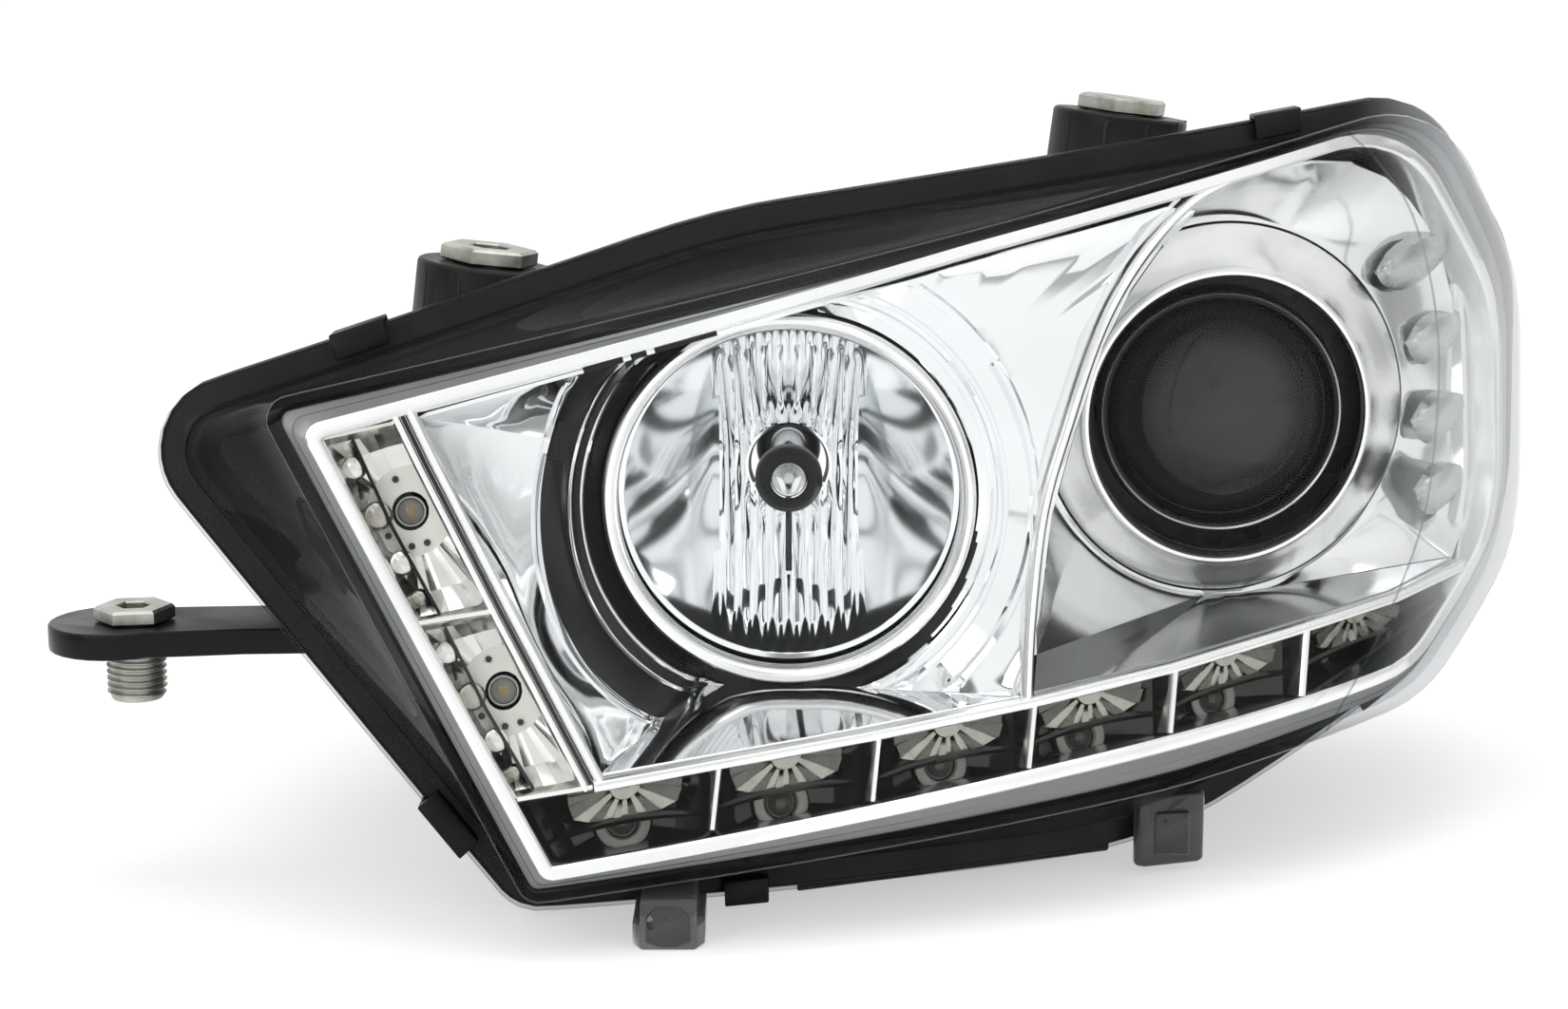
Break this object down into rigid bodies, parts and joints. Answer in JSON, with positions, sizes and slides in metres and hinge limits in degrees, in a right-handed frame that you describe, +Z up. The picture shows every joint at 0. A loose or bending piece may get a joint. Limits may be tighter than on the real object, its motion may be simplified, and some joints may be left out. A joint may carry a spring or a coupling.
{
  "type": "car headlight assembly",
  "caption": "Left-hand car headlight: clear wrap-round lens over a reflector high beam, a projector low beam and an L-shaped LED row, in a black housing with threaded mounting bushes.",
  "frame": {"origin": "centre of the footprint on the resting plane", "axes": "-Y to the front of the vehicle, +Y to the rear, +X outboard, +Z up"},
  "size_m": [0.4794, 0.2966, 0.2388],
  "materials": {
    "black_plastic": "moulded black, satin",
    "grey_plastic": "moulded dark grey",
    "white_plastic": "natural nylon",
    "clear_lens": "clear polycarbonate, hard coated",
    "clear_glass": "polished clear glass",
    "chrome": "plastic with a bright metallised face",
    "smoked_chrome": "plastic with a dark metallised face",
    "dark_metal": "dark coated light alloy",
    "dark_steel": "thin steel with a dark coating",
    "spring_steel": "bright spring wire",
    "zinc": "zinc plated steel, lightly stained",
    "rubber": "moulded rubber",
    "bulb_glass": "clear bulb glass",
    "board": "green circuit board",
    "led": "clear dome over a yellow die",
    "amber": "amber bulb glass"
  },
  "bodies": {
    "housing": {"housing": "black_plastic", "lens_cover": "clear_lens", "lens_seal": "rubber", "lens_clip_1": "black_plastic", "lens_clip_2": "black_plastic", "lens_clip_3": "black_plastic", "lens_clip_4": "black_plastic", "lens_clip_5": "black_plastic", "main_bezel": "chrome", "high_beam_surround": "chrome", "projector_surround": "chrome", "divider_blade": "chrome", "high_beam_ring": "chrome", "projector_shroud_ring": "chrome", "led_tray": "smoked_chrome", "led_board_upright": "board", "led_board_lower": "board", "led_1": "led", "led_2": "led", "led_3": "led", "led_4": "led", "led_5": "led", "led_6": "led", "led_7": "led", "led_8": "led", "turn_signal_reflector": "chrome", "levelling_motor": "black_plastic", "main_connector": "black_plastic", "led_driver_module": "grey_plastic", "vent_cap_1": "rubber", "vent_cap_2": "rubber"},
    "aim_pivot": {"aim_pivot_ball": "grey_plastic"},
    "optics": {"optics_carrier": "grey_plastic", "high_beam_reflector": "chrome", "high_beam_bulb": "bulb_glass", "high_beam_bulb_shield": "dark_steel", "projector_lens": "clear_glass", "projector_lens_holder": "dark_metal", "projector_reflector": "chrome", "cutoff_shield": "dark_steel", "low_beam_bulb": "bulb_glass"},
    "levelling_rod": {"levelling_rod": "white_plastic"},
    "vertical_adjuster": {"vertical_adjuster_screw": "white_plastic"},
    "horizontal_adjuster": {"horizontal_adjuster_screw": "white_plastic"},
    "high_bulb_spring": {"high_beam_bulb_spring": "spring_steel"},
    "low_bulb_spring": {"low_beam_bulb_spring": "spring_steel"},
    "high_cap_seal": {"high_beam_cap_seal": "rubber"},
    "high_cap": {"high_beam_cap": "black_plastic"},
    "low_cap_seal": {"low_beam_cap_seal": "rubber"},
    "low_cap": {"low_beam_cap": "black_plastic"},
    "turn_signal_holder": {"turn_signal_socket": "black_plastic", "turn_signal_bulb": "amber"},
    "upper_inner_bush": {"upper_inner_bush": "zinc"},
    "upper_outer_bush": {"upper_outer_bush": "zinc"},
    "inner_arm_bush": {"inner_arm_bush": "zinc"}
  },
  "joints": [
    {"name": "horizontal_aim", "type": "hinge", "parent": "housing", "child": "aim_pivot", "pos_m": [0.0543, 0.01031, 0.19], "axis": [0, 0, 1], "range_deg": [-2, 2]},
    {"name": "vertical_aim", "type": "hinge", "parent": "aim_pivot", "child": "optics", "pos_m": [0.0543, 0.01031, 0.19], "axis": [1, 0, 0], "range_deg": [-2, 2]},
    {"name": "levelling_rod_travel", "type": "slide", "parent": "housing", "child": "levelling_rod", "axis": [0, 1, 0], "range_m": [-0.0045, 0.0045]},
    {"name": "vertical_screw_turn", "type": "hinge", "parent": "housing", "child": "vertical_adjuster", "pos_m": [0.0893, 0.12031, 0.07], "axis": [0, 1, 0], "range_deg": [-510, 510]},
    {"name": "horizontal_screw_turn", "type": "hinge", "parent": "housing", "child": "horizontal_adjuster", "pos_m": [0.1543, 0.12031, 0.19], "axis": [0, 1, 0], "range_deg": [-425, 425]},
    {"name": "high_spring_release", "type": "hinge", "parent": "optics", "child": "high_bulb_spring", "pos_m": [0.01281, -0.00869, 0.122], "axis": [0, 0, -1], "range_deg": [0, 50]},
    {"name": "low_spring_release", "type": "hinge", "parent": "optics", "child": "low_bulb_spring", "pos_m": [0.1539, 0.08921, 0.1353], "axis": [0, 0, -1], "range_deg": [0, 30]},
    {"name": "high_cap_pull", "type": "slide", "parent": "housing", "child": "high_cap_seal", "axis": [0, 1, 0], "range_m": [0, 0.045]},
    {"name": "high_cap_twist", "type": "hinge", "parent": "high_cap_seal", "child": "high_cap", "pos_m": [-0.01419, 0.11631, 0.122], "axis": [0, 1, 0], "range_deg": [0, 30]},
    {"name": "low_cap_pull", "type": "slide", "parent": "housing", "child": "low_cap_seal", "axis": [0, 1, 0], "range_m": [0, 0.045]},
    {"name": "low_cap_twist", "type": "hinge", "parent": "low_cap_seal", "child": "low_cap", "pos_m": [0.1269, 0.11631, 0.1353], "axis": [0, 1, 0], "range_deg": [0, 30]},
    {"name": "turn_signal_twist", "type": "hinge", "parent": "housing", "child": "turn_signal_holder", "pos_m": [0.2153, 0.11631, 0.125], "axis": [0, 1, 0], "range_deg": [0, 45]},
    {"name": "upper_inner_bush_turn", "type": "hinge", "parent": "housing", "child": "upper_inner_bush", "pos_m": [-0.10569, -0.05269, 0.19], "axis": [0.1219, 0, 0.9925], "range_deg": [-1080, 1080]},
    {"name": "upper_outer_bush_turn", "type": "hinge", "parent": "housing", "child": "upper_outer_bush", "pos_m": [0.0923, 0.00431, 0.232], "axis": [0.1219, 0, 0.9925], "range_deg": [-1080, 1080]},
    {"name": "inner_arm_bush_turn", "type": "hinge", "parent": "housing", "child": "inner_arm_bush", "pos_m": [-0.2127, -0.07669, 0.084], "axis": [0, 0, 1], "range_deg": [-1080, 1080]}
  ],
  "couplings": [
    {"joint": "levelling_rod_travel", "follows": "vertical_aim", "m_per_rad": 0.12},
    {"joint": "vertical_screw_turn", "follows": "vertical_aim", "ratio": 251.3},
    {"joint": "horizontal_screw_turn", "follows": "horizontal_aim", "ratio": 209.4}
  ]
}
